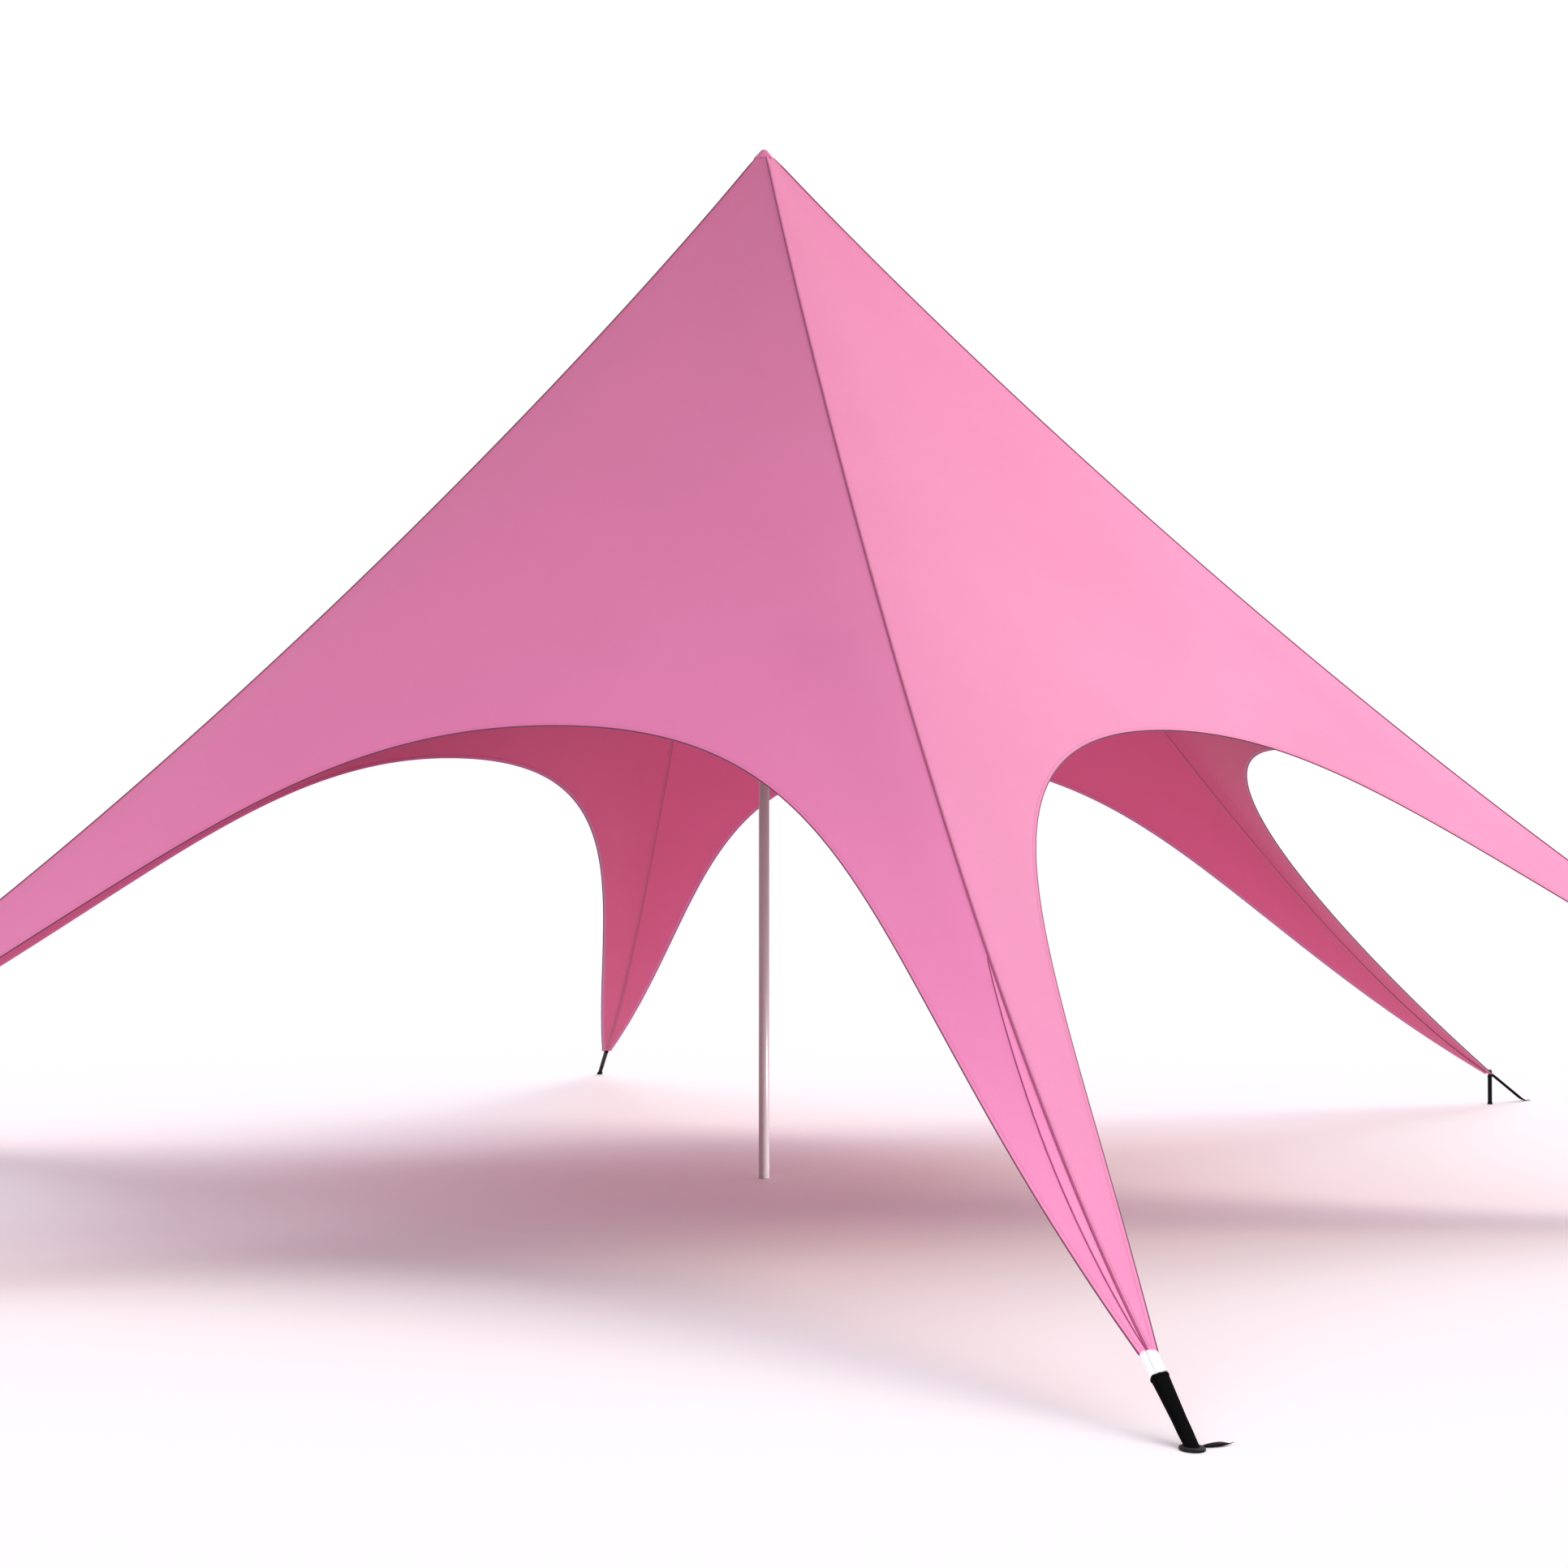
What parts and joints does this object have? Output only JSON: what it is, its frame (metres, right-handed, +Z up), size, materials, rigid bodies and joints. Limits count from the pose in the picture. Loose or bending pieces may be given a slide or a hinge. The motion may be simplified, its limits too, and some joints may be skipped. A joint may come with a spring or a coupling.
{
  "type": "single peak tent",
  "caption": "Star-shaped shade tent: a stretched pink canopy runs from one mast-held peak down narrow arms to black legs on the ground, with an open arch between every two arms.",
  "frame": {"origin": "centre of the mast's flat foot, on the ground", "axes": "+Z up along the mast, -Y out along arm 1, with the other arms every 60 degrees turning toward +X"},
  "size_m": [9.8584, 11.3505, 4.498],
  "materials": {
    "canopy_cloth": "smooth taut stretch weave, matt with a soft sheen",
    "seam_welt": "folded and sewn seam",
    "mast_tube": "smooth white painted tube",
    "white_sleeve": "folded white reinforced sleeve",
    "black_leg": "matt black",
    "black_plate": "black painted steel",
    "black_webbing": "woven flat strap"
  },
  "bodies": {
    "root": {"canopy_panel_1": "canopy_cloth", "canopy_panel_2": "canopy_cloth", "canopy_panel_3": "canopy_cloth", "canopy_panel_4": "canopy_cloth", "canopy_panel_5": "canopy_cloth", "canopy_panel_6": "canopy_cloth", "ridge_seam_1": "seam_welt", "ridge_seam_2": "seam_welt", "ridge_seam_3": "seam_welt", "ridge_seam_4": "seam_welt", "ridge_seam_5": "seam_welt", "ridge_seam_6": "seam_welt", "peak_cap": "canopy_cloth", "mast": "mast_tube", "arm_collar_1": "white_sleeve", "tapered_leg_1": "black_leg", "foot_plate_1": "black_plate", "ground_spike_1": "black_plate", "arm_collar_2": "white_sleeve", "tapered_leg_2": "black_leg", "foot_plate_2": "black_plate", "ground_spike_2": "black_plate", "arm_collar_5": "white_sleeve", "tapered_leg_5": "black_leg", "foot_plate_5": "black_plate", "ground_spike_5": "black_plate", "arm_collar_6": "white_sleeve", "tapered_leg_6": "black_leg", "foot_plate_6": "black_plate", "ground_spike_6": "black_plate", "slim_leg_4": "black_leg", "upright_prop_3": "black_leg", "stay_strap_3": "black_webbing", "strap_tail_3": "black_webbing"}
  },
  "joints": []
}
